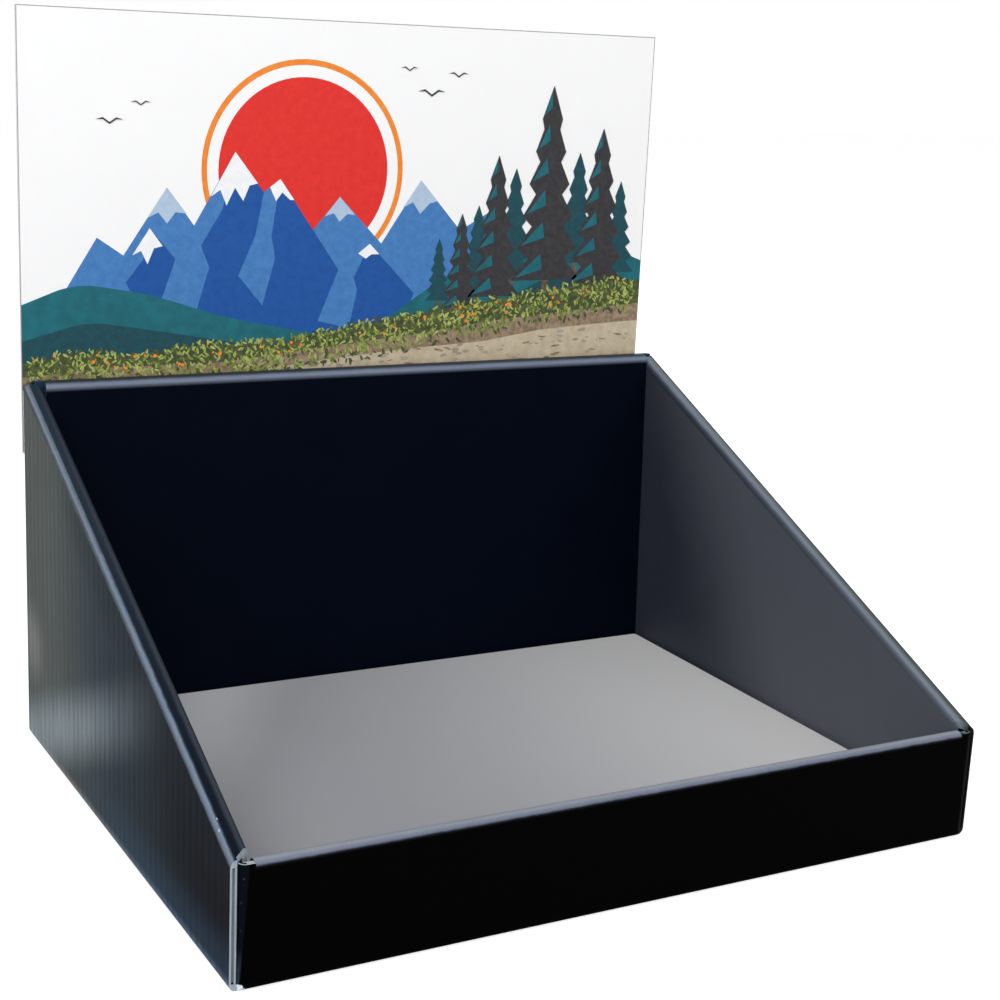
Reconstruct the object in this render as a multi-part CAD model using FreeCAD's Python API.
import FreeCAD, Part
import math
import os

from FreeCAD import Vector

# Counter display stand: a tray folded from one sheet of corrugated board, with walls that roll over
# at the top and lock into the base, a raised floor folded from a second board, and a printed header
# card taped to the outside of the back wall.
# Millimetres. X runs to the right, Y to the back, Z up. The origin is at the middle of the footprint.

# Corrugated board
board = 2.5
liner = 0.7
flute_depth = 1.2
fold_inside = 0.3
layer_gap = 0.3

# Tray
tray_width = 330.0
tray_depth = 262.0
front_height = 47.5
side_front_height = 48.5
back_height = 164.0
side_back_drop = 1.5
side_end_setback = 2.0
corner_mitre = 4.5
corner_drop = 0.5
front_hem_gap = 0.6
hem_fold_inside = 0.1
back_foot_lean = 7.0

# Corner flaps, which turn off the ends of the front and back panels into the hollow side walls
front_flap_length = 60.0
back_flap_length = 70.0
flap_taper = 4.0

# Locking tabs on the feet of the inner panels
tab_width = 40.0
side_tab_pitch = 120.0
cross_tab_pitch = 170.0
tab_end_height = 0.4

# Raised floor
floor_height = 15.5
floor_clearance = 0.5

# Header card and its tape
header_width = 320.0
header_shift = -5.0
header_overlap = 33.0
header_rise = 159.5
header_thickness = 1.5
tape_thickness = 0.8
tape_width = 280.0
tape_height = 10.0
tape_margin = 3.0

# Derived places
fold_outside = board + fold_inside
side_wall = 3 * board + 2 * layer_gap
front_y = -(tray_depth + tape_thickness + header_thickness) / 2
back_y = front_y + tray_depth
half_width = tray_width / 2
inner_half = half_width - side_wall
hem_half = inner_half - layer_gap
flap_middle = half_width - board - layer_gap - board / 2
panel_foot = board + layer_gap
front_end = front_y + side_end_setback
back_end = back_y - side_end_setback
rise = back_height - side_back_drop - side_front_height
slope = math.atan2(rise, back_end - front_end)
along = Vector(0, math.cos(slope), math.sin(slope))
upright = Vector(0, -math.sin(slope), math.cos(slope))

header_foot = back_height - header_overlap
header_top = back_height + header_rise
lower_tape = header_foot + tape_margin
upper_tape = back_height - fold_outside - tape_margin - tape_height

AXIS_X = Vector(1, 0, 0)
AXIS_Y = Vector(0, 1, 0)
AXIS_Z = Vector(0, 0, 1)


def unit(vector):
    return vector * (1 / vector.Length)


def box(x0, x1, y0, y1, z0, z1):
    return Part.makeBox(x1 - x0, y1 - y0, z1 - z0, Vector(x0, y0, z0))


def prism(points, reach):
    """Solid with the polygon points as its foot, drawn out along reach."""
    return Part.Face(Part.makePolygon(points + [points[0]])).extrude(reach)


def mirrored(shape):
    return shape.mirror(Vector(0, 0, 0), AXIS_X)


def join(shapes):
    return shapes[0].fuse(shapes[1:]).removeSplitter()


def folded_sheet(points, insides, normal):
    """Section of a board whose middle line is points, in the plane with that normal.

    Each inner point is a fold, rounded to its own inside radius in insides.
    """
    edges = []
    ends = []
    for side in (1, -1):
        first = unit(points[1] - points[0])
        last = points[0] + normal.cross(first) * (side * board / 2)
        ends.append(last)
        for before, fold, after, inside in zip(points, points[1:], points[2:], insides):
            arriving = unit(fold - before)
            leaving = unit(after - fold)
            turn = math.copysign(1, normal.dot(arriving.cross(leaving)))
            middle_radius = inside + board / 2
            reach = middle_radius * math.tan(arriving.getAngle(leaving) / 2)
            centre = fold - arriving * reach + normal.cross(arriving) * (turn * middle_radius)
            radius = middle_radius - turn * side * board / 2
            start = centre - normal.cross(arriving) * (turn * radius)
            finish = centre - normal.cross(leaving) * (turn * radius)
            edges.append(Part.makeLine(last, start))
            edges.append(Part.Arc(start, centre + unit(fold - centre) * radius, finish).toShape())
            last = finish
        final = unit(points[-1] - points[-2])
        outer_end = points[-1] + normal.cross(final) * (side * board / 2)
        edges.append(Part.makeLine(last, outer_end))
        ends.append(outer_end)
    edges.append(Part.makeLine(ends[0], ends[2]))
    edges.append(Part.makeLine(ends[1], ends[3]))
    return Part.Face(Part.Wire(Part.__sortEdges__(edges)))


def slope_height(y):
    """Height of the side walls' top at a place along the depth."""
    return side_front_height + (y - front_end) * math.tan(slope)


def tab_spans(middle, pitch, clearance):
    """Start and end of the two locking tabs of one panel, or of the slots that take them."""
    half = tab_width / 2 + clearance
    return [(middle + place - half, middle + place + half) for place in (-pitch / 2, pitch / 2)]


def free_foot_spans(start, end, tabs):
    """The stretches of a panel's foot that have no tab."""
    edges = [start] + [edge for tab in tabs for edge in tab] + [end]
    return list(zip(edges[0::2], edges[1::2]))


def base_panel():
    """Base with the rounded folds at its front and back, free of the flaps at its corners."""
    half = half_width - board - layer_gap
    plate = box(-half, half, front_y + fold_outside, back_y - fold_outside, 0, board)
    strips = []
    for edge, inward in ((front_y, 1), (back_y, -1)):
        line = [
            Vector(-half, edge + inward * (fold_outside + board), board / 2),
            Vector(-half, edge + inward * board / 2, board / 2),
            Vector(-half, edge + inward * board / 2, fold_outside + board),
        ]
        strip = folded_sheet(line, [fold_inside], AXIS_X).extrude(AXIS_X * (2 * half))
        strips.append(strip.common(box(-half, half, front_y, back_y, 0, fold_outside)))
    outline = box(-half, half, front_y, back_y, 0, fold_outside)
    uprights = [edge for edge in outline.Edges if abs(edge.tangentAt(edge.FirstParameter).z) > 0.9]
    return join([plate] + strips).common(outline.makeFillet(fold_outside, uprights))


def side_bottom_fold():
    """Left side's fold off the base and the foot of its outer panel."""
    start = Vector(-half_width + fold_outside + board, front_end, board / 2)
    corner = Vector(-half_width + board / 2, front_end, board / 2)
    top = Vector(-half_width + board / 2, front_end, front_height / 2)
    section = folded_sheet([start, corner, top], [fold_inside], AXIS_Y)
    return section.extrude(AXIS_Y * (back_end - front_end))


def side_roll():
    """Left side's outer panel, sloping top and inner panel, cut to length and mitred at the front."""
    outer_x = -half_width + board / 2
    inner_x = -half_width + side_wall - board / 2
    spare = 2 * back_height
    origin = Vector(0, front_end, side_front_height) - along * spare
    line = [
        origin + AXIS_X * outer_x - upright * spare,
        origin + AXIS_X * outer_x - upright * (board / 2),
        origin + AXIS_X * inner_x - upright * (board / 2),
        origin + AXIS_X * inner_x - upright * spare,
    ]
    section = folded_sheet(line, [fold_inside, fold_inside], along)
    roll = section.extrude(along * (tray_depth + 2 * spare))
    hollow_x = -half_width + board
    behind_corner = fold_outside + layer_gap
    plan = [
        Vector(-half_width, front_end, 0),
        Vector(hollow_x, front_end, 0),
        Vector(hollow_x, front_y + behind_corner, 0),
        Vector(-inner_half, front_y + behind_corner + corner_mitre, 0),
        Vector(-inner_half, back_y - behind_corner, 0),
        Vector(hollow_x, back_y - behind_corner, 0),
        Vector(hollow_x, back_end, 0),
        Vector(-half_width, back_end, 0),
    ]
    roll = roll.common(prism(plan, AXIS_Z * spare))
    under_outer = box(-half_width, hollow_x + layer_gap, front_y, back_y, 0, fold_outside)
    under_inner = [box(hollow_x, -inner_half, front_y, back_y, 0, tab_end_height)]
    tabs = tab_spans((front_y + back_y) / 2, side_tab_pitch, 0)
    for start, end in free_foot_spans(front_y, back_y, tabs):
        under_inner.append(box(hollow_x + layer_gap, -inner_half, start, end, 0, panel_foot))
    return roll.cut([under_outer] + under_inner)


def cut_end_grooves():
    """Hollow between the two liners at the upright cut ends of the left outer panel."""
    x0 = -half_width + liner
    x1 = -half_width + board - liner
    front_top = slope_height(front_end) - fold_outside
    back_top = slope_height(back_end) - 2 * fold_outside
    return [
        box(x0, x1, front_end, front_end + flute_depth, fold_outside, front_top),
        box(x0, x1, back_end - flute_depth, back_end, fold_outside, back_top),
    ]


def cross_wall(edge, inward, height, hem, foot, inside):
    """Front or back wall: outer panel, rolled top and inner panel down to its tabs.

    edge is the wall's outer face and inward the direction into the tray. hem is the thickness of
    the wall at its top, foot the same at the base, and inside the inner radius of the top folds.
    """
    outer_line = edge + inward * board / 2
    line = [
        Vector(-hem_half, edge + inward * (fold_outside + board), board / 2),
        Vector(-hem_half, outer_line, board / 2),
        Vector(-hem_half, outer_line, height - board / 2),
        Vector(-hem_half, edge + inward * (hem - board / 2), height - board / 2),
        Vector(-hem_half, edge + inward * (foot - board / 2), 0),
    ]
    section = folded_sheet(line, [fold_inside, inside, inside], AXIS_X)
    wall = section.extrude(AXIS_X * (2 * hem_half))
    past_panel = edge + inward * (foot + board)
    y0, y1 = sorted((edge + inward * (fold_outside + board), past_panel))
    free = [box(-hem_half, hem_half, y0, y1, -board, tab_end_height)]
    y0, y1 = sorted((edge + inward * (hem - layer_gap - board / 2), past_panel))
    for start, end in free_foot_spans(-hem_half, hem_half, tab_spans(0, cross_tab_pitch, 0)):
        free.append(box(start, end, y0, y1, -board, panel_foot))
    return wall, free


def corner(edge, inward, top, flap):
    """Left end of the front or back panel: its rounded upright fold and the flap behind it."""
    flap_x = -flap_middle
    far = edge + inward * (flap + board)
    foot = fold_outside + layer_gap
    line = [
        Vector(-hem_half, edge + inward * board / 2, 0),
        Vector(flap_x, edge + inward * board / 2, 0),
        Vector(flap_x, far, 0),
    ]
    sheet = folded_sheet(line, [fold_inside], AXIS_Z).extrude(AXIS_Z * top)
    fold_line = edge + inward * fold_outside
    flap_end = edge + inward * flap
    under_top = (board + layer_gap) / math.cos(slope)
    top_at_fold = slope_height(fold_line) - under_top
    top_at_end = min(top_at_fold, slope_height(flap_end) - under_top)
    outline = [
        Vector(-half_width, edge, foot),
        Vector(-half_width, fold_line, foot),
        Vector(-half_width, flap_end, foot + flap_taper),
        Vector(-half_width, flap_end, top_at_end),
        Vector(-half_width, fold_line, top_at_fold),
        Vector(-half_width, fold_line, top),
        Vector(-half_width, edge, top),
    ]
    sheet = sheet.common(prism(outline, AXIS_X * half_width))
    middle = Vector(-half_width + board + layer_gap + fold_outside, fold_line, top - flute_depth)
    groove = Part.makeCylinder(fold_outside - liner, flute_depth, middle)
    groove = groove.cut(Part.makeCylinder(fold_inside + liner, flute_depth, middle))
    quarter = box(middle.x - fold_outside, middle.x, min(edge, fold_line), max(edge, fold_line), 0, top)
    return sheet.cut(groove.common(quarter))


def base_slots(side_feet, front_foot, back_foot):
    """Slots through the base for the locking tabs, each a clearance wider than its tab."""
    low = -board
    high = panel_foot
    slots = []
    for start, end in tab_spans((front_y + back_y) / 2, side_tab_pitch, layer_gap):
        slots.append(box(side_feet[0], side_feet[1], start, end, low, high))
        slots.append(box(-side_feet[1], -side_feet[0], start, end, low, high))
    for start, end in tab_spans(0, cross_tab_pitch, layer_gap):
        slots.append(box(start, end, front_foot[0], front_foot[1], low, high))
        slots.append(box(start, end, back_foot[0], back_foot[1], low, high))
    return slots


def foot_span(edge, inward, height, hem, foot):
    """Where a leaning inner panel passes through the base, with a clearance to each side."""
    lean = (foot - hem) / height
    near = edge + inward * (foot - board - lean * board - layer_gap)
    far = edge + inward * (foot + layer_gap)
    return sorted((near, far))


def tray():
    front_hem = 2 * board + front_hem_gap
    back_foot = side_wall + back_foot_lean
    side_feet = (-inner_half - board - layer_gap, -inner_half + layer_gap)
    front_feet = foot_span(front_y, 1, front_height, front_hem, side_wall)
    back_feet = foot_span(back_y, -1, back_height, side_wall, back_foot)
    base = base_panel().cut(base_slots(side_feet, front_feet, back_feet))
    left = join([side_bottom_fold(), side_roll()]).cut(cut_end_grooves())
    front_wall, front_free = cross_wall(front_y, 1, front_height, front_hem, side_wall, hem_fold_inside)
    back_wall, back_free = cross_wall(back_y, -1, back_height, side_wall, back_foot, fold_inside)
    front_corner = corner(front_y, 1, front_height - corner_drop, front_flap_length)
    back_corner = corner(back_y, -1, back_height - corner_drop, back_flap_length)
    walls = [front_wall.cut(front_free), back_wall.cut(back_free), left, mirrored(left)]
    corners = [front_corner, mirrored(front_corner), back_corner, mirrored(back_corner)]
    return join([base] + walls + corners)


def floor_insert():
    """Raised floor: a top panel with four flanges folded down on to the base."""
    half = inner_half - floor_clearance
    y0 = front_y + side_wall + floor_clearance
    y1 = back_y - side_wall - back_foot_lean - floor_clearance
    level = floor_height - board / 2
    folds = [fold_inside, fold_inside]
    across = [
        Vector(-half + board / 2, y0 + fold_outside, board),
        Vector(-half + board / 2, y0 + fold_outside, level),
        Vector(half - board / 2, y0 + fold_outside, level),
        Vector(half - board / 2, y0 + fold_outside, board),
    ]
    lengthwise = [
        Vector(-half + fold_outside, y0 + board / 2, board),
        Vector(-half + fold_outside, y0 + board / 2, level),
        Vector(-half + fold_outside, y1 - board / 2, level),
        Vector(-half + fold_outside, y1 - board / 2, board),
    ]
    side_flanges = folded_sheet(across, folds, AXIS_Y).extrude(AXIS_Y * (y1 - y0 - 2 * fold_outside))
    end_flanges = folded_sheet(lengthwise, folds, AXIS_X).extrude(AXIS_X * (2 * half - 2 * fold_outside))
    return join([side_flanges, end_flanges])


def header_card():
    x0 = header_shift - header_width / 2
    y0 = back_y + tape_thickness
    return box(x0, x0 + header_width, y0, y0 + header_thickness, header_foot, header_top)


def header_tape(z0):
    x0 = header_shift - tape_width / 2
    return box(x0, x0 + tape_width, back_y, back_y + tape_thickness, z0, z0 + tape_height)


nodes = {
    "tray": tray(),
    "floor_insert": floor_insert(),
    "header_card": header_card(),
    "header_tape_upper": header_tape(upper_tape),
    "header_tape_lower": header_tape(lower_tape),
}

os.makedirs("parts", exist_ok=True)
for name, shape in nodes.items():
    if len(shape.Solids) == 1:
        shape = shape.Solids[0]
    shape.exportStep("parts/" + name + ".step")
    print(name, shape.ShapeType, len(shape.Solids), shape.isValid(), round(shape.Volume))
